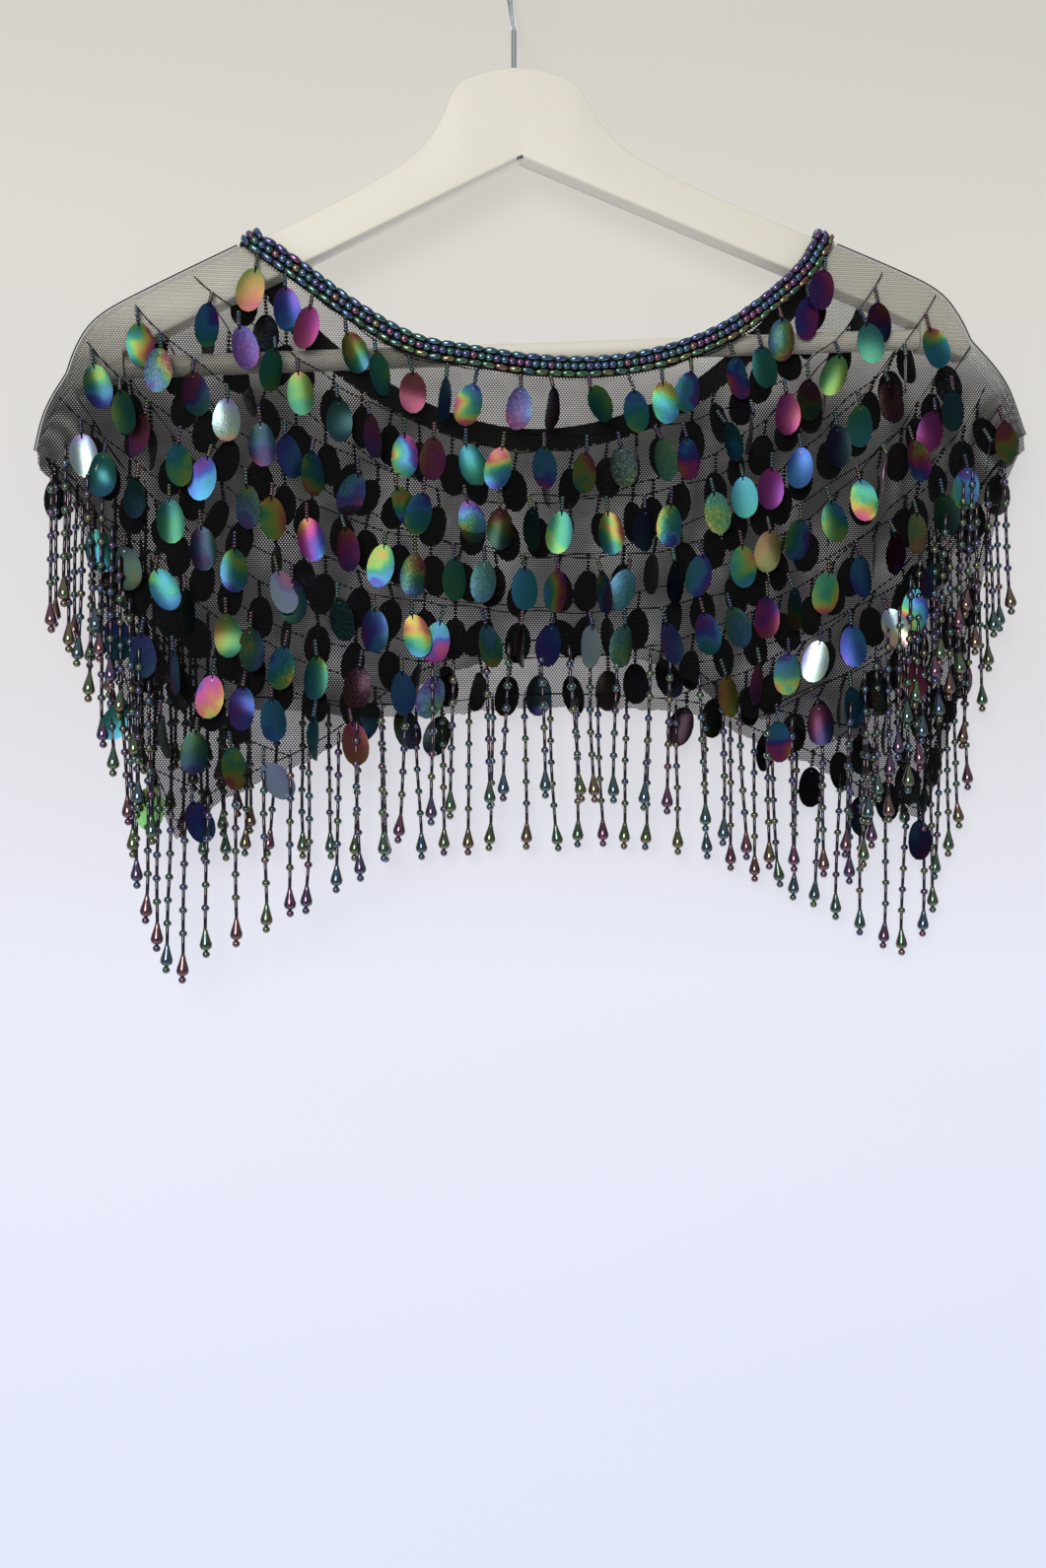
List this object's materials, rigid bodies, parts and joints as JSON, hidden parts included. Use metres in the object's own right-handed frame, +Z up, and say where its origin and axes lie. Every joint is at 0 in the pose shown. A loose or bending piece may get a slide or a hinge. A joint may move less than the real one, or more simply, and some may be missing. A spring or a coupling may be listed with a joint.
{
  "type": "beaded net cape on a wooden clothes hanger",
  "caption": "Short sheer net cape with a wide beaded neckline and a fringe of beaded strands, hung on a flat painted wooden clothes hanger with a trouser bar.",
  "frame": {"origin": "inside top of the hanger's hook crown, where the hook rests on its rail", "axes": "+Z up, -Y the cape's front, +X the viewer's right when looking at the front; the rail runs along X and the cape hangs with its left arm 4 degrees low, as in the picture"},
  "size_m": [0.4917, 0.0451, 0.5057],
  "materials": {
    "hanger_wood": "cream satin paint",
    "hanger_wire": "bright plated wire",
    "net": "sheer black hexagonal net",
    "tape": "black woven tape",
    "beads": "dark iridescent glass beads",
    "fringe": "dark iridescent glass bugles, beads and drops"
  },
  "bodies": {
    "root": {"hanger_body": "hanger_wood", "hanger_bar": "hanger_wood", "hanger_hook": "hanger_wire", "net_front": "net", "net_back": "net", "neck_tape_front": "tape", "neck_tape_back": "tape", "neck_beads_front": "beads", "neck_beads_back": "beads", "fringe_front": "fringe", "fringe_back": "fringe"}
  },
  "joints": []
}
